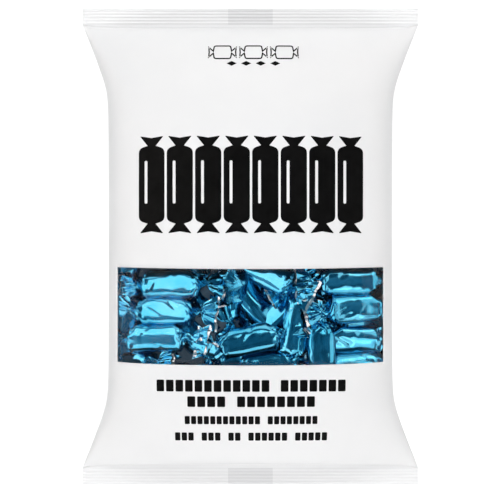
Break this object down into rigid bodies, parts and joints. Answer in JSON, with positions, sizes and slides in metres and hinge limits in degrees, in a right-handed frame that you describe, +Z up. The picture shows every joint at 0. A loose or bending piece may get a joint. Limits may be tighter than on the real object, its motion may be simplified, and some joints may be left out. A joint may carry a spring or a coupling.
{
  "type": "bag of wrapped candy",
  "caption": "Pillow pack of wrapped caramels lying on its back: crimped ends, a fin seal down the back, and a clear window in the front that shows the foil-wrapped candies.",
  "frame": {"origin": "under the middle of the pack, on the surface that its back lies on", "axes": "+Z up, out of the printed front; +Y towards the top of the pack; +X to the right of the front"},
  "size_m": [0.203, 0.288, 0.0605],
  "materials": {
    "white_film": "white printed film with a satin sheen",
    "clear_film": "clear glossy film",
    "blue_foil": "blue metallised wrapper, crinkled, silver inside",
    "black_ink": "black print on the film"
  },
  "bodies": {
    "root": {"bag": "white_film", "window_film": "clear_film", "wrapped_candies": "blue_foil"}
  },
  "joints": []
}
